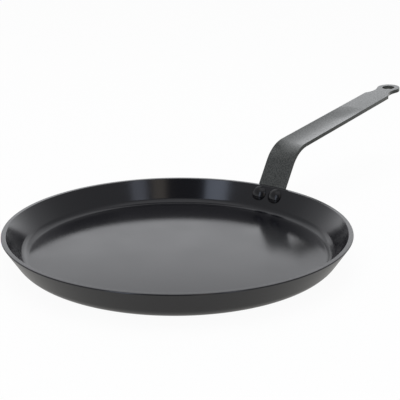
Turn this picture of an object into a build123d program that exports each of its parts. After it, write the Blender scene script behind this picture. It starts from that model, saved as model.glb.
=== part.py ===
from build123d import *
import os
from math import asin, cos, degrees, radians, sin, sqrt, tan

os.makedirs("parts", exist_ok=True)

# Crepe pan: a shallow pressed pan with a bent strip handle on two rivets.
# Millimetres, +Z up. The origin is the centre of the base's underside and the handle runs along +X.

# Pan body, one blank pressed into a thick flat floor and a short sloping wall that thins towards its foot.
# The rim's diameter is that of its sharp corner, before the edge is broken.
rim_diameter = 301.0
pan_height = 27.0
wall_slope = 57.5
inner_wall_slope = 60.0
rim_thickness = 3.8
floor_thickness = 5.2
outer_corner_radius = 20.0
inner_corner_radius = 10.0
rim_outer_chamfer = 0.9
rim_inner_chamfer = 0.5

# Handle strip: foot on the wall, leg past the rim, bend, dished grip, flat end with an eye
strip_width = 29.2
strip_thickness = 4.0
strip_edge_chamfer = 0.4
foot_length = 19.0
foot_corner_radius = 5.0
foot_clearance = 0.05
leg_length = 24.7
bend_radius = 36.3
grip_slope = 5.7
dished_length = 84.0
fade_length = 42.0
dish_depth = 2.3

# Eye at the handle's end, with the neck that leads to it
eye_distance = 207.4
eye_radius = 12.8
hanging_hole_radius = 6.7
neck_width = 19.8
neck_radius = 25.0
shoulder_radius = 2.0

# Rivets: domed head inside the pan, flatter closing head on the foot. Each head bites into what it is set on.
rivet_spacing = 18.2
rivet_drop = 10.5
rivet_shank_diameter = 6.0
rivet_hole_clearance = 0.1
rivet_head_diameter = 14.4
rivet_head_height = 3.3
rivet_head_edge = 0.7
rivet_head_bite = 0.8
closing_head_diameter = 10.4
closing_head_height = 2.4
closing_head_edge = 0.9
closing_head_top_diameter = 6.4
closing_head_bite = 0.3

# One overrun serves every cut
cut_overrun = 10.0

# Stations along the bend and along the fading dish
bend_stations = 6
fade_stations = 4

slope = radians(wall_slope)
inner_slope = radians(inner_wall_slope)
grip = radians(grip_slope)
rim_radius = rim_diameter / 2
rim_face = rim_thickness / sin(slope)
half_width = strip_width / 2
rivet_hole_radius = rivet_shank_diameter / 2 + rivet_hole_clearance

# The wall's line in the plane of the handle: up along the wall, and out from it
wall_up = Vector(cos(slope), 0, sin(slope))
wall_out = Vector(sin(slope), 0, -cos(slope))
inner_wall_out = Vector(sin(inner_slope), 0, -cos(inner_slope))
rim_point = Vector(rim_radius, 0, pan_height)
rim_inside_point = Vector(rim_radius - rim_face, 0, pan_height)

# The foot is pressed to the wall's cone, which bends it by this much across its width
foot_middle_radius = rim_radius - foot_length / 2 * cos(slope)
foot_curve_radius = foot_middle_radius / sin(slope)
foot_dish = foot_curve_radius - sqrt(foot_curve_radius**2 - half_width**2)

# Corners of the handle's line: end of the leg, centre of the bend, start of the grip
leg_top = rim_point + wall_out * foot_clearance + wall_up * leg_length
bend_centre = leg_top + wall_out * bend_radius
grip_start = bend_centre + Vector(-sin(grip), 0, cos(grip)) * bend_radius
fade_end = dished_length + fade_length

# Each rivet stands square to the wall's outside, this far round from the handle's middle
rivet_seat = rim_point - wall_up * rivet_drop
rivet_turn = degrees(asin(rivet_spacing / 2 / rivet_seat.X))
# Thickness of the wall along the rivet's own line
riveted_wall = (rivet_seat - rim_inside_point).dot(inner_wall_out) / wall_out.dot(inner_wall_out)


def nearest(vertices, point):
    """The vertex of an outline that lies at a given corner."""
    return min(vertices, key=lambda vertex: (Vector(vertex) - Vector(point)).length)


def ease(share):
    """Smooth step from 0 to 1 that starts and ends level."""
    return share * share * (3 - 2 * share)


def pan_section():
    """Half section of the pan, drawn sharp and then rounded at its corners."""
    base_corner = (rim_radius - pan_height / tan(slope), 0)
    rim_outside = (rim_radius, pan_height)
    rim_inside = (rim_radius - rim_face, pan_height)
    wall_rise = pan_height - floor_thickness
    floor_corner = (rim_inside[0] - wall_rise / tan(inner_slope), floor_thickness)
    outline = Polyline((0, 0), base_corner, rim_outside, rim_inside, floor_corner, (0, floor_thickness), close=True)
    section = make_face(outline)
    for corner, radius in ((base_corner, outer_corner_radius), (floor_corner, inner_corner_radius)):
        section = fillet(nearest(section.vertices(), corner), radius)
    for corner, size in ((rim_outside, rim_outer_chamfer), (rim_inside, rim_inner_chamfer)):
        section = chamfer(nearest(section.vertices(), corner), size)
    return Plane.XZ * section


def at_rivet(side, solid):
    """Solid moved from the origin to one rivet, its Z axis out of the wall and its origin on the wall's outside."""
    middle = Plane(origin=rivet_seat, x_dir=wall_up, z_dir=wall_out)
    return Rot(0, 0, side * rivet_turn) * (middle * solid)


def rivet_hole(side):
    """Drill for one rivet, through the wall and the foot."""
    length = rim_thickness + strip_thickness + 2 * cut_overrun
    return at_rivet(side, Cylinder(rivet_hole_radius, length))


def drilled(blank):
    """A piece with both rivet holes drilled through it."""
    for side in (-1, 1):
        blank -= rivet_hole(side)
    return blank


def strip_section(plane, dish, lift=0):
    """Cross-section of the strip. The top face sinks by dish in the middle, and lift raises its long edges."""
    top = lift
    bottom = lift - strip_thickness
    corners = [(-half_width, top), (half_width, top), (half_width, bottom), (-half_width, bottom)]
    if dish > 0:
        upper = ThreePointArc(corners[0], (0, top - dish), corners[1])
        lower = ThreePointArc(corners[2], (0, bottom - dish), corners[3])
    else:
        upper = Line(corners[0], corners[1])
        lower = Line(corners[2], corners[3])
    outline = Wire([upper, Line(corners[1], corners[2]), lower, Line(corners[3], corners[0])])
    section = make_face(outline)
    section = chamfer(section.vertices(), strip_edge_chamfer)
    return plane * section


def strip_plane(origin, angle):
    """Plane across the strip: local x along its width, local y out of its top face, facing on along it."""
    return Plane(origin=origin, x_dir=(0, 1, 0), z_dir=(cos(angle), 0, sin(angle)))


def make_foot_and_leg():
    """Straight stretch from the foot's end to the bend, curved across to the wall's cone."""
    section = strip_section(strip_plane(leg_top, slope), foot_dish, foot_dish)
    length = foot_length + leg_length
    stretch = extrude(section, amount=length, dir=-wall_up)
    foot_plane = Plane(origin=leg_top - wall_up * length, x_dir=(0, 1, 0), z_dir=wall_out)
    block_width = foot_corner_radius + cut_overrun
    for side in (-1, 1):
        centre = Pos(side * (half_width - foot_corner_radius), foot_corner_radius)
        block = Box(block_width, block_width, 2 * cut_overrun, align=(Align.MIN, Align.MAX, Align.CENTER))
        if side < 0:
            block = mirror(block, Plane.YZ)
        rounding = Cylinder(foot_corner_radius, 3 * cut_overrun)
        stretch -= foot_plane * centre * (block - rounding)
    return stretch


def make_bend():
    """The bend, along which the dish deepens from the foot's to the grip's."""
    sections = []
    for station in range(bend_stations + 1):
        share = station / bend_stations
        angle = slope + (grip - slope) * share
        origin = bend_centre + Vector(-sin(angle), 0, cos(angle)) * bend_radius
        dish = foot_dish + (dish_depth - foot_dish) * ease(share)
        sections.append(strip_section(strip_plane(origin, angle), dish, foot_dish * (1 - ease(share))))
    return loft(sections)


def grip_point(distance):
    """Point on the grip's line, at a distance from the bend."""
    return grip_start + Vector(cos(grip), 0, sin(grip)) * distance


def make_dished_grip():
    """Grip with its full dish, and the stretch in which the dish fades out."""
    full = extrude(strip_section(strip_plane(grip_start, grip), dish_depth), amount=dished_length)
    sections = []
    for station in range(fade_stations + 1):
        share = station / fade_stations
        dish = dish_depth * (1 - ease(share))
        origin = grip_point(dished_length + fade_length * share)
        sections.append(strip_section(strip_plane(origin, grip), dish))
    return full + loft(sections)


def make_eye_end():
    """Flat end of the handle: shoulders, a neck between two arcs, and a round eye with its hole."""
    neck_side = neck_width / 2 + neck_radius
    reach = eye_radius + neck_radius
    neck_middle = eye_distance - sqrt(reach**2 - neck_side**2)
    shoulder = neck_middle - sqrt(neck_radius**2 - (neck_side - half_width) ** 2)
    meeting = (
        eye_distance + (neck_middle - eye_distance) * eye_radius / reach,
        neck_side * eye_radius / reach,
    )
    outline = Wire([
        Line((fade_end, -half_width), (shoulder, -half_width)),
        ThreePointArc((shoulder, -half_width), (neck_middle, -neck_width / 2), (meeting[0], -meeting[1])),
        ThreePointArc((meeting[0], -meeting[1]), (eye_distance + eye_radius, 0), meeting),
        ThreePointArc(meeting, (neck_middle, neck_width / 2), (shoulder, half_width)),
        Line((shoulder, half_width), (fade_end, half_width)),
        Line((fade_end, half_width), (fade_end, -half_width)),
    ])
    face = make_face(outline)
    shoulders = [nearest(face.vertices(), (shoulder, side * half_width)) for side in (-1, 1)]
    face = fillet(shoulders, shoulder_radius)
    end = extrude(face, amount=-strip_thickness)
    long_edges = [
        edge
        for edge in end.edges()
        if (edge @ 0.5).X > fade_end + strip_edge_chamfer and abs((edge % 0.5).Z) < 0.5
    ]
    end = chamfer(long_edges, strip_edge_chamfer)
    hole = Pos(eye_distance, 0, -strip_thickness / 2) * Cylinder(hanging_hole_radius, strip_thickness + cut_overrun)
    grip_plane = Plane(origin=grip_start, x_dir=(cos(grip), 0, sin(grip)), z_dir=(-sin(grip), 0, cos(grip)))
    return grip_plane * (end - hole)


def make_strip():
    """The whole handle as it is before its holes for the rivets."""
    return make_foot_and_leg() + make_bend() + make_dished_grip() + make_eye_end()


def make_head():
    """The rivet's own domed head, with its base inside the wall. Its Z axis runs out of the wall."""
    radius = rivet_head_diameter / 2
    inside = -riveted_wall
    edge = inside - rivet_head_edge
    top = inside - rivet_head_height
    rise = edge - top
    ball_radius = (radius**2 + rise**2) / (2 * rise)
    half_turn = asin(radius / ball_radius) / 2
    middle = (ball_radius * sin(half_turn), top + ball_radius * (1 - cos(half_turn)))
    base = inside + rivet_head_bite
    outline = Wire([
        Line((0, base), (radius, base)),
        Line((radius, base), (radius, edge)),
        ThreePointArc((radius, edge), middle, (0, top)),
        Line((0, top), (0, base)),
    ])
    return revolve(Plane.XZ * make_face(outline), Axis.Z)


def make_closing_head():
    """The head that the rivet is closed with: a flat button with a sloping edge, with its base inside the foot."""
    radius = closing_head_diameter / 2
    outside = strip_thickness + foot_clearance
    base = outside - closing_head_bite
    edge = outside + closing_head_edge
    top = outside + closing_head_height
    top_radius = closing_head_top_diameter / 2
    outline = Polyline((0, base), (radius, base), (radius, edge), (top_radius, top), (0, top), close=True)
    return revolve(Plane.XZ * make_face(outline), Axis.Z)


def make_rivet(side, pan_blank, strip):
    """One set rivet. The heads are pressed to the surfaces that they clamp, and the shank joins them."""
    head = at_rivet(side, make_head()) - pan_blank
    closing_head = at_rivet(side, make_closing_head()) - strip
    start = -riveted_wall - rivet_head_edge
    length = strip_thickness + foot_clearance + closing_head_edge - start
    shank = Pos(0, 0, start + length / 2) * Cylinder(rivet_shank_diameter / 2, length)
    return at_rivet(side, shank) + head + closing_head


pan_blank = revolve(pan_section(), Axis.Z)
strip = make_strip()
nodes = {
    "pan_body": drilled(pan_blank),
    "handle": drilled(strip),
    "rivet_left": make_rivet(1, pan_blank, strip),
    "rivet_right": make_rivet(-1, pan_blank, strip),
}

for name, solid in nodes.items():
    export_step(solid, f"parts/{name}.step")
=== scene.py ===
from math import asin, atan2, cos, pi, radians, sin, sqrt, tan

import bmesh
import bpy
from mathutils import Matrix, Vector


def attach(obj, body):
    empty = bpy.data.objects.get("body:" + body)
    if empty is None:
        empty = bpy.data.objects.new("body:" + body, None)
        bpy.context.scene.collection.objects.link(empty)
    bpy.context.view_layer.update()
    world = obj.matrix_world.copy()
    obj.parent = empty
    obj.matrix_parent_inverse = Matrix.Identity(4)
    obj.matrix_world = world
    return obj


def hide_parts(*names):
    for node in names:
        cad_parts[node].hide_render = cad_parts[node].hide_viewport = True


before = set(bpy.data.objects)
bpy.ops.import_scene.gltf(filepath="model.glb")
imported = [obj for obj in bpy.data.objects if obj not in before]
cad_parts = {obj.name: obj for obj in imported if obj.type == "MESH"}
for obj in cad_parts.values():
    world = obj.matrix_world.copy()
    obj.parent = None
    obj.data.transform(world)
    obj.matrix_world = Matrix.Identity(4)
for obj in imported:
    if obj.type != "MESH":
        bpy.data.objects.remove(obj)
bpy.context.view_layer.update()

# Crepe pan: a pressed pan with a sprayed dark coating and a bent strip handle on two rivets.
# Metres, +Z up, handle along +X, base on z = 0. Sizes repeat the named sizes of the part's source.
MM = 0.001

RIM_RADIUS = 150.5 * MM
PAN_HEIGHT = 27.0 * MM
WALL_SLOPE = radians(57.5)
INNER_WALL_SLOPE = radians(60.0)
RIM_THICKNESS = 3.8 * MM
FLOOR_THICKNESS = 5.2 * MM
OUTER_CORNER_RADIUS = 20.0 * MM
INNER_CORNER_RADIUS = 10.0 * MM
RIM_OUTER_CHAMFER = 0.9 * MM

STRIP_HALF_WIDTH = 29.2 / 2 * MM
STRIP_THICKNESS = 4.0 * MM
FOOT_LENGTH = 19.0 * MM
FOOT_CORNER_RADIUS = 5.0 * MM
FOOT_CLEARANCE = 0.05 * MM
LEG_LENGTH = 24.7 * MM
BEND_RADIUS = 36.3 * MM
GRIP_SLOPE = radians(5.7)
DISHED_LENGTH = 84.0 * MM
FADE_LENGTH = 42.0 * MM
DISH_DEPTH = 2.3 * MM

EYE_DISTANCE = 207.4 * MM
EYE_RADIUS = 12.8 * MM
HANGING_HOLE_RADIUS = 6.7 * MM
NECK_HALF_WIDTH = 19.8 / 2 * MM
NECK_RADIUS = 25.0 * MM
SHOULDER_RADIUS = 2.0 * MM

RIVET_SPACING = 18.2 * MM
RIVET_DROP = 10.5 * MM
RIVET_SHANK_RADIUS = 3.0 * MM
RIVET_HEAD_RADIUS = 7.2 * MM
RIVET_HEAD_HEIGHT = 3.3 * MM
RIVET_HEAD_EDGE = 0.7 * MM
CLOSING_HEAD_RADIUS = 5.2 * MM
CLOSING_HEAD_HEIGHT = 2.4 * MM
CLOSING_HEAD_EDGE = 0.9 * MM
CLOSING_HEAD_TOP_RADIUS = 3.2 * MM

# Softened edges, which are too fine for the solids
CHAMFER_FOOT_ROUNDING = 0.4 * MM
CHAMFER_TOP_ROUNDING = 0.7 * MM
RIM_INSIDE_ROUNDING = 0.8 * MM
STRIP_EDGE_BREAK = 0.45 * MM
RIVET_HEAD_ROUNDING = 0.35 * MM
RIVET_HEAD_BULGE = Vector((0.12 * MM, 0, -0.1 * MM))
CLOSING_HEAD_SIDE_ROUNDING = 0.5 * MM
CLOSING_HEAD_TOP_ROUNDING = 1.6 * MM

# Lines and planes that several pieces share
WALL_UP = Vector((cos(WALL_SLOPE), 0, sin(WALL_SLOPE)))
WALL_OUT = Vector((sin(WALL_SLOPE), 0, -cos(WALL_SLOPE)))
RIM_POINT = Vector((RIM_RADIUS, 0, PAN_HEIGHT))
LEG_TOP = RIM_POINT + WALL_OUT * FOOT_CLEARANCE + WALL_UP * LEG_LENGTH
BEND_CENTRE = LEG_TOP + WALL_OUT * BEND_RADIUS
GRIP_START = BEND_CENTRE + Vector((-sin(GRIP_SLOPE), 0, cos(GRIP_SLOPE))) * BEND_RADIUS
BEND_TURN = WALL_SLOPE - GRIP_SLOPE
FADE_END = DISHED_LENGTH + FADE_LENGTH
RIVET_SEAT = RIM_POINT - WALL_UP * RIVET_DROP
RIVET_TURN = asin(RIVET_SPACING / 2 / RIVET_SEAT.x)
RIM_FACE = RIM_THICKNESS / sin(WALL_SLOPE)
INNER_WALL_OUT = Vector((sin(INNER_WALL_SLOPE), 0, -cos(INNER_WALL_SLOPE)))
RIM_INSIDE = RIM_POINT - Vector((RIM_FACE, 0, 0))
# The inner wall is steeper than the outer, so this is how thick it is where a rivet goes through
RIVET_WALL = (RIVET_SEAT - RIM_INSIDE).dot(INNER_WALL_OUT) / INNER_WALL_OUT.dot(WALL_OUT)

# How finely the curved surfaces are divided
PAN_SIDES = 256
FLAT_RINGS = 8
CORNER_STEPS = 18
RIM_STEPS = 5
STRIP_COLUMNS = 16
ROW_LENGTH = 3.0 * MM
SHOULDER_STEPS = 5
NECK_STEPS = 14
EYE_STEPS = 26
HANGING_HOLE_SIDES = 72
BEND_STEPS = 20
LEG_ROWS = 12
FOOT_CORNER_STEPS = 10
STRIP_EDGE_STEPS = 3
RIVET_SIDES = 72
DOME_STEPS = 14
CLOSING_HEAD_SIDE_STEPS = 3
CLOSING_HEAD_TOP_STEPS = 6

# What counts as one point, as on a line, as too near for a softened edge, as an edge to shade
# sharp, and as an edge to break
MERGE_DISTANCE = 0.5e-6
SLACK = 0.01 * MM
WELD_DISTANCE = 0.12 * MM
SMOOTH_ANGLE = radians(33)
BROKEN_EDGE_ANGLE = radians(50)

# The photograph's camera: on the side away from the handle, 17.6 degrees up
CAMERA_PLACE = Vector((-640.77, -495.95, 308.30)) * MM
CAMERA_TARGET = Vector((11.35, -15.40, 50.8)) * MM
CAMERA_FORWARD = (CAMERA_TARGET - CAMERA_PLACE).normalized()
CAMERA_LENS = 89.58
CAMERA_SENSOR = 36.0

# The studio: a wide floor a hair under the base, and white that is a shade cool, or warm off the floor
STUDIO_FLOOR_SIZE = 8.0
STUDIO_FLOOR_DROP = 0.05 * MM
COOL_TINT = (0.98, 0.99, 1.02)
WARM_TINT = (1.01, 1.0, 0.97)
WHITE = "ffffff"
PAN_MIDDLE = Vector((0, 0, 0.02))


def deselect():
    """Nothing stays selected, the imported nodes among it."""
    bpy.ops.object.select_all(action="DESELECT")


def take_up(piece):
    """Makes a piece the only selected one, and the active one."""
    deselect()
    piece.select_set(True)
    bpy.context.view_layer.objects.active = piece


def start_pen(name, point):
    """A new piece that is one selected vertex at point, left in edit mode."""
    deselect()
    bpy.ops.mesh.primitive_plane_add(size=MM, location=(0, 0, 0))
    piece = bpy.context.object
    piece.name = name
    piece.data.name = name
    bpy.ops.object.mode_set(mode="EDIT")
    bpy.ops.mesh.select_all(action="SELECT")
    bpy.ops.mesh.merge(type="CENTER")
    bpy.ops.transform.translate(value=point)
    return piece


def run(move, steps=1):
    """Extrudes what is selected straight on by move, in equal steps."""
    step = Vector(move) / steps
    for _ in range(steps):
        bpy.ops.mesh.extrude_region_move(TRANSFORM_OT_translate={"value": step})


def turn(centre, axis, angle, steps):
    """Extrudes what is selected round an axis by a right-handed angle.

    With no window, spin turns the other way.
    """
    bpy.ops.mesh.spin(steps=steps, angle=-angle, center=centre, axis=axis)


def arc_to(start, centre, end, axis, steps):
    """Extrudes the selected vertex from start to end round centre, the short way round axis."""
    axis = Vector(axis)
    first = Vector(start) - Vector(centre)
    last = Vector(end) - Vector(centre)
    angle = atan2(axis.dot(first.cross(last)), first.dot(last))
    turn(centre, axis, angle, steps)


def draw_corners(here, corners):
    """Draws the selected vertex on from here through (x, z, radius, steps) corners.

    A corner with a radius becomes a true arc, and one without is sharp.
    """
    for index, (x, z, radius, steps) in enumerate(corners):
        corner = Vector((x, 0, z))
        if radius == 0:
            run(corner - here, steps)
            here = corner
            continue
        next_x, next_z = corners[index + 1][:2]
        ahead = (Vector((next_x, 0, next_z)) - corner).normalized()
        behind = (here - corner).normalized()
        half_angle = ahead.angle(behind) / 2
        reach = radius / tan(half_angle)
        arc_start = corner + behind * reach
        arc_end = corner + ahead * reach
        centre = corner + (ahead + behind).normalized() * (radius / sin(half_angle))
        run(arc_start - here)
        arc_to(arc_start, centre, arc_end, (0, 1, 0), steps)
        here = arc_end


def raise_outline(move):
    """Fills the closed outline that was drawn with one face, and extrudes it by move."""
    bpy.ops.mesh.select_all(action="SELECT")
    bpy.ops.mesh.remove_doubles(threshold=MERGE_DISTANCE)
    bpy.ops.mesh.edge_face_add()
    run(move)


def choose(piece, wanted):
    """In edit mode, selects the vertices that wanted accepts, with the edges between them."""
    mesh = bmesh.from_edit_mesh(piece.data)
    bpy.ops.mesh.select_all(action="DESELECT")
    for vertex in mesh.verts:
        vertex.select = wanted(vertex.co)
    mesh.select_flush(True)
    bmesh.update_edit_mesh(piece.data)


def close_up(piece):
    """Merges doubled vertices and points all faces outwards, then leaves edit mode."""
    bpy.ops.mesh.select_all(action="SELECT")
    bpy.ops.mesh.remove_doubles(threshold=MERGE_DISTANCE)
    bpy.ops.mesh.normals_make_consistent(inside=False)
    bpy.ops.object.mode_set(mode="OBJECT")


def lathe(piece, sides):
    """Spins the drawn half section once round the Z axis and closes it."""
    bpy.ops.mesh.select_all(action="SELECT")
    turn((0, 0, 0), (0, 0, 1), 2 * pi, sides)
    close_up(piece)


def apply_modifier(piece, kind, **settings):
    """Adds a modifier, sets it and applies it."""
    take_up(piece)
    modifier = piece.modifiers.new(kind.lower(), kind)
    for name, value in settings.items():
        setattr(modifier, name, value)
    bpy.ops.object.modifier_apply(modifier=modifier.name)


def cut_with(piece, cutter):
    """Takes the cutter's shape out of a piece."""
    apply_modifier(piece, "BOOLEAN", operation="DIFFERENCE", solver="EXACT", object=cutter)
    bpy.data.objects.remove(cutter)


def place_at(origin, x_axis, y_axis, z_axis):
    """The matrix that takes a piece's own origin and axes there."""
    return Matrix.Translation(origin) @ Matrix((x_axis, y_axis, z_axis)).transposed().to_4x4()


def move_piece(piece, matrix):
    """Moves a piece and puts its place in its mesh."""
    piece.matrix_world = matrix
    take_up(piece)
    bpy.ops.object.transform_apply(location=True, rotation=True, scale=True)


def smooth(piece):
    """Smooth shading up to the edge angle, with the broad faces keeping their own flatness."""
    take_up(piece)
    bpy.ops.object.shade_smooth_by_angle(angle=SMOOTH_ANGLE)
    apply_modifier(piece, "WEIGHTED_NORMAL", keep_sharp=True, weight=80)


def ease(share):
    """Smooth step from 0 to 1 that starts and ends level."""
    share = min(max(share, 0.0), 1.0)
    return share * share * (3 - 2 * share)


def make_pan():
    """The pressed sheet: flat floor, rounded corner, sloping wall and softly broken rim edges."""
    run_out = PAN_HEIGHT / tan(WALL_SLOPE)
    wall_rise = PAN_HEIGHT - FLOOR_THICKNESS
    base_corner = RIM_RADIUS - run_out
    floor_corner = RIM_INSIDE.x - wall_rise / tan(INNER_WALL_SLOPE)
    flat_edge = base_corner - OUTER_CORNER_RADIUS * tan(WALL_SLOPE / 2)
    floor_edge = floor_corner - INNER_CORNER_RADIUS * tan(INNER_WALL_SLOPE / 2)
    # A narrow flat ring beside each rounded corner keeps the broad faces shaded level
    margin = 1.5 * MM
    broken_edge = RIM_POINT - WALL_UP * RIM_OUTER_CHAMFER
    piece = start_pen("pan_sheet", (0, 0, 0))
    draw_corners(Vector((0, 0, 0)), [
        (flat_edge - margin, 0, 0, FLAT_RINGS),
        (base_corner, 0, OUTER_CORNER_RADIUS, CORNER_STEPS),
        (broken_edge.x, broken_edge.z, CHAMFER_FOOT_ROUNDING, RIM_STEPS),
        (RIM_RADIUS - RIM_OUTER_CHAMFER, PAN_HEIGHT, CHAMFER_TOP_ROUNDING, RIM_STEPS),
        (RIM_INSIDE.x, PAN_HEIGHT, RIM_INSIDE_ROUNDING, RIM_STEPS),
        (floor_corner, FLOOR_THICKNESS, INNER_CORNER_RADIUS, CORNER_STEPS),
        (floor_edge - margin, FLOOR_THICKNESS, 0, 1),
        (0, FLOOR_THICKNESS, 0, FLAT_RINGS),
    ])
    lathe(piece, PAN_SIDES)
    smooth(piece)
    return piece


def make_eye_end():
    """Flat end of the handle, top on z = 0: shoulders, a neck between two arcs and a round eye."""
    up = (0, 0, 1)
    side = STRIP_HALF_WIDTH
    neck_side = NECK_HALF_WIDTH + NECK_RADIUS
    neck_reach = EYE_RADIUS + NECK_RADIUS
    neck_middle = EYE_DISTANCE - sqrt(neck_reach**2 - neck_side**2)
    shoulder_side = side - SHOULDER_RADIUS
    shoulder_reach = NECK_RADIUS + SHOULDER_RADIUS
    shoulder = neck_middle - sqrt(shoulder_reach**2 - (neck_side - shoulder_side) ** 2)
    eye_centre = Vector((EYE_DISTANCE, 0, 0))
    outlines = []
    for sign in (-1, 1):
        shoulder_centre = Vector((shoulder, sign * shoulder_side, 0))
        neck_centre = Vector((neck_middle, sign * neck_side, 0))
        on_side = Vector((shoulder, sign * side, 0))
        on_neck = neck_centre + (shoulder_centre - neck_centre) * (NECK_RADIUS / shoulder_reach)
        on_eye = eye_centre + (neck_centre - eye_centre) * (EYE_RADIUS / neck_reach)
        outlines.append((shoulder_centre, neck_centre, on_side, on_neck, on_eye))
    tip = Vector((EYE_DISTANCE + EYE_RADIUS, 0, 0))
    start = Vector((FADE_END, side, 0))
    piece = start_pen("handle_strip", start)
    run((0, -2 * side, 0), STRIP_COLUMNS)
    # Out along one side to the tip, and back along the other
    shoulder_centre, neck_centre, on_side, on_neck, on_eye = outlines[0]
    run(on_side - Vector((FADE_END, -side, 0)))
    arc_to(on_side, shoulder_centre, on_neck, up, SHOULDER_STEPS)
    arc_to(on_neck, neck_centre, on_eye, up, NECK_STEPS)
    arc_to(on_eye, eye_centre, tip, up, EYE_STEPS)
    shoulder_centre, neck_centre, on_side, on_neck, on_eye = outlines[1]
    arc_to(tip, eye_centre, on_eye, up, EYE_STEPS)
    arc_to(on_eye, neck_centre, on_neck, up, NECK_STEPS)
    arc_to(on_neck, shoulder_centre, on_side, up, SHOULDER_STEPS)
    run(start - on_side)
    raise_outline((0, 0, -STRIP_THICKNESS))
    return piece


def press_dish(piece):
    """Sinks the middle of the strip as the press does.

    The grip gets a shallow round dish that fades out along it, and the foot the wall's curve.
    """
    foot_radius = (RIM_RADIUS - FOOT_LENGTH / 2 * cos(WALL_SLOPE)) / sin(WALL_SLOPE)
    foot_dish = foot_radius - sqrt(foot_radius**2 - STRIP_HALF_WIDTH**2)
    mesh = bmesh.from_edit_mesh(piece.data)
    for vertex in mesh.verts:
        x, y, z = vertex.co
        if x >= -SLACK:
            up = Vector((0, 0, 1))
            dish = DISH_DEPTH * (1 - ease((x - DISHED_LENGTH) / FADE_LENGTH))
            lift = 0.0
        else:
            angle = min(atan2(-x, z + BEND_RADIUS), BEND_TURN)
            up = Vector((-sin(angle), 0, cos(angle)))
            share = ease(1 - angle / BEND_TURN)
            dish = foot_dish + (DISH_DEPTH - foot_dish) * share
            lift = foot_dish * (1 - share)
        across = y / STRIP_HALF_WIDTH
        vertex.co += up * (lift - dish * (1 - across * across))
    bmesh.update_edit_mesh(piece.data)


def make_corner_cutter(sign, place):
    """What the shears take off a corner of the foot, as a block with a round hollow."""
    radius = FOOT_CORNER_RADIUS
    over = 2 * MM
    deep = 8 * MM
    edge = sign * STRIP_HALF_WIDTH
    inner = sign * (STRIP_HALF_WIDTH - radius)
    outside = edge + sign * over
    start = Vector((radius, edge, deep))
    end = Vector((0, inner, deep))
    piece = start_pen("foot_corner_cutter", start)
    arc_to(start, Vector((radius, inner, deep)), end, (0, 0, 1), FOOT_CORNER_STEPS)
    run((-over, 0, 0))
    run((0, outside - inner, 0))
    run((radius + over, 0, 0))
    run((0, edge - outside, 0))
    raise_outline((0, 0, -2 * deep))
    close_up(piece)
    move_piece(piece, place)
    return piece


def make_handle():
    """One strip, worked from its eye end along the grip, round the bend and down to the foot."""
    piece = make_eye_end()
    choose(piece, lambda point: abs(point.x - FADE_END) < SLACK)
    run((-FADE_END, 0, 0), round(FADE_END / ROW_LENGTH))
    turn((0, 0, -BEND_RADIUS), (0, 1, 0), -BEND_TURN, BEND_STEPS)
    down = Vector((-cos(BEND_TURN), 0, -sin(BEND_TURN)))
    # The last row is long enough to hold the foot's rounded corners
    last_row = 6 * MM
    run(down * (LEG_LENGTH + FOOT_LENGTH - last_row), LEG_ROWS)
    run(down * last_row)
    press_dish(piece)
    close_up(piece)

    bend_end = Vector((-sin(BEND_TURN), 0, cos(BEND_TURN) - 1)) * BEND_RADIUS
    foot_end = bend_end + down * (LEG_LENGTH + FOOT_LENGTH)
    foot_up = Vector((-sin(BEND_TURN), 0, cos(BEND_TURN)))
    foot_place = place_at(foot_end, -down, (0, 1, 0), foot_up)
    for sign in (-1, 1):
        cut_with(piece, make_corner_cutter(sign, foot_place))

    deselect()
    bpy.ops.mesh.primitive_cylinder_add(
        vertices=HANGING_HOLE_SIDES,
        radius=HANGING_HOLE_RADIUS,
        depth=4 * STRIP_THICKNESS,
        location=(EYE_DISTANCE, 0, 0),
    )
    drill = bpy.context.object
    cut_with(piece, drill)

    apply_modifier(piece, "WELD", merge_threshold=WELD_DISTANCE)
    apply_modifier(
        piece,
        "BEVEL",
        width=STRIP_EDGE_BREAK,
        segments=STRIP_EDGE_STEPS,
        limit_method="ANGLE",
        angle_limit=BROKEN_EDGE_ANGLE,
        use_clamp_overlap=False,
    )
    grip_x = Vector((cos(GRIP_SLOPE), 0, sin(GRIP_SLOPE)))
    grip_z = Vector((-sin(GRIP_SLOPE), 0, cos(GRIP_SLOPE)))
    move_piece(piece, place_at(GRIP_START, grip_x, (0, 1, 0), grip_z))
    smooth(piece)
    return piece


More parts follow.
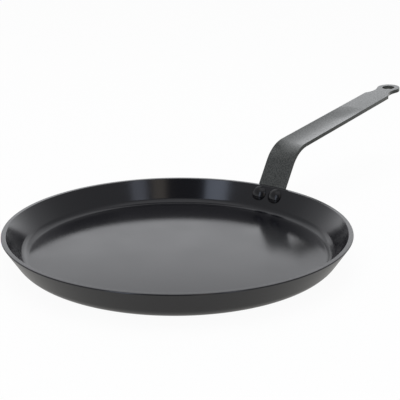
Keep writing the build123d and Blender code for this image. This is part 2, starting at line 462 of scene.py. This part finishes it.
def make_rivet():
    """A set rivet round the Z axis, with z = 0 on the outside of the wall and its dome below."""
    head_top = -RIVET_WALL - RIVET_HEAD_HEIGHT
    head_base = -RIVET_WALL - RIVET_HEAD_EDGE
    rise = RIVET_HEAD_HEIGHT - RIVET_HEAD_EDGE
    ball = (RIVET_HEAD_RADIUS**2 + rise**2) / (2 * rise)
    outside = STRIP_THICKNESS + FOOT_CLEARANCE
    top = outside + CLOSING_HEAD_HEIGHT
    # The heads reach this far into the wall and the foot, which are curved, so that no gap shows
    sunk = 0.6 * MM
    start = Vector((0, 0, head_top))
    piece = start_pen("rivet", start)
    lean = asin((RIVET_HEAD_RADIUS - RIVET_HEAD_ROUNDING) / ball)
    dome_end = Vector((ball * sin(lean), 0, head_top + ball * (1 - cos(lean))))
    arc_to(start, (0, 0, head_top + ball), dome_end, (0, 1, 0), DOME_STEPS)
    shoulder = Vector((RIVET_HEAD_RADIUS, 0, head_base + RIVET_HEAD_ROUNDING))
    bulge = (dome_end + shoulder) / 2 + RIVET_HEAD_BULGE
    head_foot = Vector((RIVET_HEAD_RADIUS, 0, -RIVET_WALL + sunk))
    run(bulge - dome_end)
    run(shoulder - bulge)
    run(head_foot - shoulder)
    draw_corners(head_foot, [
        (RIVET_SHANK_RADIUS, -RIVET_WALL + sunk, 0, 1),
        (RIVET_SHANK_RADIUS, outside - sunk, 0, 1),
        (CLOSING_HEAD_RADIUS, outside - sunk, 0, 1),
        (
            CLOSING_HEAD_RADIUS,
            outside + CLOSING_HEAD_EDGE,
            CLOSING_HEAD_SIDE_ROUNDING,
            CLOSING_HEAD_SIDE_STEPS,
        ),
        (CLOSING_HEAD_TOP_RADIUS, top, CLOSING_HEAD_TOP_ROUNDING, CLOSING_HEAD_TOP_STEPS),
        (0, top, 0, 1),
    ])
    lathe(piece, RIVET_SIDES)
    smooth(piece)
    return piece


def srgb(code):
    """A hex colour as the eye reads it, turned to linear light."""
    channels = []
    for place in (0, 2, 4):
        value = int(code[place:place + 2], 16) / 255
        channels.append(value / 12.92 if value <= 0.04045 else ((value + 0.055) / 1.055) ** 2.4)
    return (*channels, 1.0)


def add_node(tree, kind, inputs=None, **settings):
    """One shader node with its settings.

    Each of inputs is a name or place, and the output that is linked to it or the value that it takes.
    """
    node = tree.nodes.new(kind)
    for name, value in settings.items():
        setattr(node, name, value)
    for name, value in (inputs or {}).items():
        if isinstance(value, bpy.types.NodeSocket):
            tree.links.new(value, node.inputs[name])
        else:
            node.inputs[name].default_value = value
    return node


def add_share(tree, value, low, high):
    """0 below low and 1 above high, with a smooth step between."""
    share = add_node(
        tree,
        "ShaderNodeMapRange",
        {"Value": value, "From Min": low, "From Max": high, "To Min": 0.0, "To Max": 1.0},
        interpolation_type="SMOOTHSTEP",
    )
    return share.outputs["Result"]


def add_levels(tree, place, tint, stops):
    """Tinted brightness that follows a value through (place, level) stops."""
    ramp = add_node(tree, "ShaderNodeValToRGB", {"Fac": place})
    ramp.color_ramp.interpolation = "EASE"
    elements = ramp.color_ramp.elements
    while len(elements) < len(stops):
        elements.new(0.5)
    for element, (position, level) in zip(elements, stops):
        element.position = position
        element.color = (*(level * channel for channel in tint), 1.0)
    return ramp.outputs["Color"]


def new_material(name):
    """An empty node material with its output, and the tree to fill."""
    material = bpy.data.materials.new(name)
    material.use_nodes = True
    tree = material.node_tree
    tree.nodes.clear()
    output = tree.nodes.new("ShaderNodeOutputMaterial")
    return material, tree, output


def nonstick_coating():
    """Sprayed and baked fluoropolymer on aluminium: near black and satin, with a faint ripple."""
    material, tree, output = new_material("nonstick_coating_sprayed_satin")
    place = add_node(tree, "ShaderNodeTexCoord").outputs["Object"]
    # The spray dries to a ripple about 1.6 mm across, with grains of about 0.5 mm on it
    ripple_size = 1.6 * MM
    grain_size = 0.5 * MM
    ripple = add_node(
        tree,
        "ShaderNodeTexNoise",
        {"Vector": place, "Scale": 1 / ripple_size, "Detail": 2.0, "Roughness": 0.5},
    )
    grain = add_node(
        tree,
        "ShaderNodeTexNoise",
        {"Vector": place, "Scale": 1 / grain_size, "Detail": 1.0},
    )
    height = add_node(
        tree,
        "ShaderNodeMath",
        {0: grain.outputs["Fac"], 1: 0.35, 2: ripple.outputs["Fac"]},
        operation="MULTIPLY_ADD",
    )
    bump = add_node(
        tree,
        "ShaderNodeBump",
        {"Height": height.outputs[0], "Strength": 0.10, "Distance": 0.05 * MM},
    )
    # Slow drifts of the film's sheen, a few centimetres across
    drift_size = 45 * MM
    drift = add_node(
        tree,
        "ShaderNodeTexNoise",
        {"Vector": place, "Scale": 1 / drift_size, "Detail": 1.0},
    )
    sheen = add_node(
        tree,
        "ShaderNodeMapRange",
        {
            "Value": drift.outputs["Fac"],
            "From Min": 0.3,
            "From Max": 0.7,
            "To Min": 0.14,
            "To Max": 0.18,
        },
    )
    tone = add_node(
        tree,
        "ShaderNodeMix",
        {"Factor": grain.outputs["Fac"], "A": srgb("0e0e12"), "B": srgb("141419")},
        data_type="RGBA",
    )
    shader = add_node(
        tree,
        "ShaderNodeBsdfPrincipled",
        {
            "Base Color": tone.outputs["Result"],
            "Roughness": sheen.outputs["Result"],
            "IOR": 1.6,
            "Normal": bump.outputs["Normal"],
        },
    )
    tree.links.new(shader.outputs["BSDF"], output.inputs["Surface"])
    return material


def handle_lacquer():
    """Epoxy lacquer with metal flake on steel, baked to a fine hammered skin: dark metallic grey."""
    material, tree, output = new_material("handle_lacquer_hammered_grey")
    place = add_node(tree, "ShaderNodeTexCoord").outputs["Object"]
    # The skin's dimples are about 1.6 mm apart, and the flake gathers in spots of about 1.2 mm
    dimple_size = 1.6 * MM
    spot_size = 1.2 * MM
    dimples = add_node(
        tree,
        "ShaderNodeTexVoronoi",
        {"Vector": place, "Scale": 1 / dimple_size},
        feature="SMOOTH_F1",
    )
    flake = add_node(
        tree,
        "ShaderNodeTexNoise",
        {"Vector": place, "Scale": 1 / spot_size, "Detail": 2.0},
    )
    height = add_node(
        tree,
        "ShaderNodeMath",
        {0: dimples.outputs["Distance"], 1: 0.6, 2: flake.outputs["Fac"]},
        operation="MULTIPLY_ADD",
    )
    bump = add_node(
        tree,
        "ShaderNodeBump",
        {"Height": height.outputs[0], "Strength": 0.6, "Distance": 0.16 * MM},
    )
    # Paler where the flake gathers, darker between
    spots = add_share(tree, flake.outputs["Fac"], 0.32, 0.68)
    tone = add_node(
        tree,
        "ShaderNodeMix",
        {"Factor": spots, "A": srgb("4a4c4a"), "B": srgb("6a6c6a")},
        data_type="RGBA",
    )
    shader = add_node(
        tree,
        "ShaderNodeBsdfPrincipled",
        {
            "Base Color": tone.outputs["Result"],
            "Metallic": 0.8,
            "Roughness": 0.28,
            "Coat Weight": 0.4,
            "Coat Roughness": 0.2,
            "Normal": bump.outputs["Normal"],
        },
    )
    tree.links.new(shader.outputs["BSDF"], output.inputs["Surface"])
    return material


def rivet_coating():
    """The pan's coating on the smooth drawn rivet heads, where it dries to a gloss."""
    material, tree, output = new_material("rivet_coating_sprayed_gloss")
    place = add_node(tree, "ShaderNodeTexCoord").outputs["Object"]
    # The film keeps only a faint grain here, about 0.8 mm across
    grain_size = 0.8 * MM
    grain = add_node(
        tree,
        "ShaderNodeTexNoise",
        {"Vector": place, "Scale": 1 / grain_size, "Detail": 2.0},
    )
    bump = add_node(
        tree,
        "ShaderNodeBump",
        {"Height": grain.outputs["Fac"], "Strength": 0.06, "Distance": 0.05 * MM},
    )
    tone = add_node(
        tree,
        "ShaderNodeMix",
        {"Factor": grain.outputs["Fac"], "A": srgb("0e0e10"), "B": srgb("151517")},
        data_type="RGBA",
    )
    shader = add_node(
        tree,
        "ShaderNodeBsdfPrincipled",
        {
            "Base Color": tone.outputs["Result"],
            "Roughness": 0.2,
            "IOR": 1.5,
            "Normal": bump.outputs["Normal"],
        },
    )
    tree.links.new(shader.outputs["BSDF"], output.inputs["Surface"])
    return material


def studio_floor_paint():
    """Plain white floor that keeps a soft shadow; reflections see it as a painted glow with painted
    shade.
    """
    material, tree, output = new_material("studio_floor_matt_white")
    paint = add_node(tree, "ShaderNodeBsdfDiffuse", {"Color": srgb("f4f4f4")})
    path = add_node(tree, "ShaderNodeLightPath")
    # Painted glow that reflections see, against metres towards the backdrop: painted shade beside the
    # handle, whose edge mirrors it, and a brighter painted glow under the backdrop
    place = add_node(tree, "ShaderNodeTexCoord").outputs["Object"]
    metres = add_node(
        tree,
        "ShaderNodeVectorMath",
        {0: place, 1: (0.8, 0.6, 0.0)},
        operation="DOT_PRODUCT",
    )
    painted_mirror_glow = add_levels(
        tree,
        metres.outputs["Value"],
        WARM_TINT,
        [(0.03, 0.46), (0.2, 0.22), (0.34, 0.28), (0.48, 0.5), (0.68, 0.95)],
    )
    glow_colour = add_node(
        tree,
        "ShaderNodeMix",
        {"Factor": path.outputs["Is Camera Ray"], "A": painted_mirror_glow, "B": srgb(WHITE)},
        data_type="RGBA",
    )
    glow = add_node(
        tree,
        "ShaderNodeEmission",
        {"Color": glow_colour.outputs["Result"], "Strength": 1.0},
    )
    # The camera and what mirrors the floor get the glow, with a twentieth of the shadowed paint
    seen = add_node(
        tree,
        "ShaderNodeMath",
        {0: path.outputs["Is Glossy Ray"], 1: path.outputs["Is Camera Ray"]},
        operation="MAXIMUM",
    )
    share = add_node(tree, "ShaderNodeMath", {0: seen.outputs[0], 1: 0.95}, operation="MULTIPLY")
    mix = add_node(
        tree,
        "ShaderNodeMixShader",
        {"Fac": share.outputs[0], 1: paint.outputs["BSDF"], 2: glow.outputs["Emission"]},
    )
    tree.links.new(mix.outputs["Shader"], output.inputs["Surface"])
    return material


def dress(piece, material, node):
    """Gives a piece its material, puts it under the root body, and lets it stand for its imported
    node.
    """
    piece.data.materials.clear()
    piece.data.materials.append(material)
    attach(piece, "root")
    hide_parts(node)


def make_rivets(coating):
    """Copies of one rivet, square to the wall on either side of the handle's middle."""
    pattern = make_rivet()
    seat_place = place_at(RIVET_SEAT, WALL_UP, WALL_OUT.cross(WALL_UP), WALL_OUT)
    for sign, name, node in ((1, "left_rivet", "rivet_left"), (-1, "right_rivet", "rivet_right")):
        rivet = pattern.copy()
        rivet.data = pattern.data.copy()
        rivet.name = name
        rivet.data.name = name
        bpy.context.scene.collection.objects.link(rivet)
        move_piece(rivet, Matrix.Rotation(sign * RIVET_TURN, 4, "Z") @ seat_place)
        dress(rivet, coating, node)
    bpy.data.objects.remove(pattern)


def make_floor():
    """The floor that the pan stands on."""
    deselect()
    bpy.ops.mesh.primitive_plane_add(size=STUDIO_FLOOR_SIZE, location=(0, 0, -STUDIO_FLOOR_DROP))
    floor = bpy.context.object
    floor.name = "studio_floor"
    floor.data.materials.append(studio_floor_paint())


def make_camera():
    """The camera at the photograph's angle."""
    data = bpy.data.cameras.new("photo_camera")
    camera = bpy.data.objects.new("photo_camera", data)
    bpy.context.scene.collection.objects.link(camera)
    camera.location = CAMERA_PLACE
    camera.rotation_mode = "QUATERNION"
    camera.rotation_quaternion = CAMERA_FORWARD.to_track_quat("-Z", "Y")
    data.lens = CAMERA_LENS
    data.sensor_width = CAMERA_SENSOR
    data.clip_start = 0.01
    data.clip_end = 50.0
    bpy.context.scene.camera = camera


def make_world():
    """The room, which is plain white for the camera alone.

    For all else it is a lit backdrop with a high softbox behind the object, softer at the sides
    and dark round the camera, with light overhead.
    """
    world = bpy.data.worlds.new("studio")
    bpy.context.scene.world = world
    world.use_nodes = True
    tree = world.node_tree
    tree.nodes.clear()
    output = tree.nodes.new("ShaderNodeOutputWorld")
    # Where a ray goes: its height, and how far it faces away from the camera, from -1 to 1
    direction = add_node(tree, "ShaderNodeTexCoord").outputs["Generated"]
    height = add_node(tree, "ShaderNodeSeparateXYZ", {"Vector": direction}).outputs["Z"]
    along_ground = add_node(
        tree,
        "ShaderNodeVectorMath",
        {0: direction, 1: (1, 1, 0)},
        operation="MULTIPLY",
    )
    bearing = add_node(
        tree,
        "ShaderNodeVectorMath",
        {0: along_ground.outputs["Vector"]},
        operation="NORMALIZE",
    )
    ahead = Vector((CAMERA_FORWARD.x, CAMERA_FORWARD.y, 0)).normalized()
    facing = add_node(
        tree,
        "ShaderNodeVectorMath",
        {0: bearing.outputs["Vector"], 1: ahead},
        operation="DOT_PRODUCT",
    ).outputs["Value"]
    # Levels against height
    behind = add_levels(
        tree,
        height,
        COOL_TINT,
        [
            (0.12, 1.1),
            (0.26, 0.7),
            (0.31, 1.18),
            (0.345, 1.14),
            (0.41, 0.5),
            (0.5, 0.82),
            (0.6, 0.6),
            (0.84, 0.62),
            (0.91, 0.06),
            (0.955, 0.03),
            (0.98, 0.55),
        ],
    )
    beside = add_levels(
        tree,
        height,
        COOL_TINT,
        [
            (0, 0.72),
            (0.17, 0.66),
            (0.3, 0.45),
            (0.44, 0.3),
            (0.6, 0.27),
            (0.8, 0.3),
            (0.89, 0.38),
            (0.94, 0.58),
        ],
    )
    front = add_levels(
        tree,
        height,
        COOL_TINT,
        [(0, 0.1), (0.5, 0.08), (0.66, 0.07), (0.8, 0.1), (0.88, 0.5), (0.985, 0.55)],
    )
    around_front = add_node(
        tree,
        "ShaderNodeMix",
        {"Factor": add_share(tree, facing, -0.96, -0.6), "A": front, "B": beside},
        data_type="RGBA",
    )
    level = add_node(
        tree,
        "ShaderNodeMix",
        {
            "Factor": add_share(tree, facing, 0.6, 0.97),
            "A": around_front.outputs["Result"],
            "B": behind,
        },
        data_type="RGBA",
    )
    light = add_node(
        tree,
        "ShaderNodeBackground",
        {"Color": level.outputs["Result"], "Strength": 1.25},
    )
    white = add_node(tree, "ShaderNodeBackground", {"Color": srgb(WHITE), "Strength": 1.0})
    path = add_node(tree, "ShaderNodeLightPath")
    mix = add_node(
        tree,
        "ShaderNodeMixShader",
        {
            "Fac": path.outputs["Is Camera Ray"],
            1: light.outputs["Background"],
            2: white.outputs["Background"],
        },
    )
    tree.links.new(mix.outputs["Shader"], output.inputs["Surface"])


def add_softbox(name, place, width, height, power, tint=WHITE, in_gloss=True):
    """One soft rectangular lamp that looks at the middle of the pan."""
    data = bpy.data.lights.new(name, "AREA")
    data.shape = "RECTANGLE"
    data.size = width
    data.size_y = height
    data.energy = power
    data.color = srgb(tint)[:3]
    lamp = bpy.data.objects.new(name, data)
    bpy.context.scene.collection.objects.link(lamp)
    lamp.location = place
    lamp.rotation_mode = "QUATERNION"
    lamp.rotation_quaternion = (PAN_MIDDLE - Vector(place)).to_track_quat("-Z", "Y")
    lamp.visible_glossy = in_gloss


def around(turned, height, distance):
    """A place in the studio: degrees round from the camera's side, degrees up, and metres away."""
    toward = atan2(-CAMERA_FORWARD.y, -CAMERA_FORWARD.x) + radians(turned)
    level = distance * cos(radians(height))
    return Vector((level * cos(toward), level * sin(toward), distance * sin(radians(height))))


def light_studio():
    """One broad lamp overhead, and three tall panels round the camera."""
    add_softbox("overhead_softbox", (0.0, 0.0, 1.6), 1.6, 1.6, 12.0, in_gloss=False)
    # The panels stand as stripes on the far wall and on the rivets
    for name, turned, width, power, tint in (
        ("front_panel_left", -34, 0.46, 4.0, "dce8ff"),
        ("front_panel_middle", 18, 0.28, 0.9, "fff2e2"),
        ("front_panel_right", 36, 0.32, 1.8, "e2eaff"),
    ):
        add_softbox(name, around(turned, 30, 1.8), width, 1.5, power, tint)


pan_finish = nonstick_coating()
rivet_finish = rivet_coating()
dress(make_pan(), pan_finish, "pan_body")
dress(make_handle(), handle_lacquer(), "handle")
make_rivets(rivet_finish)
make_floor()
make_camera()
make_world()
light_studio()

bpy.context.scene.view_settings.view_transform = "Standard"
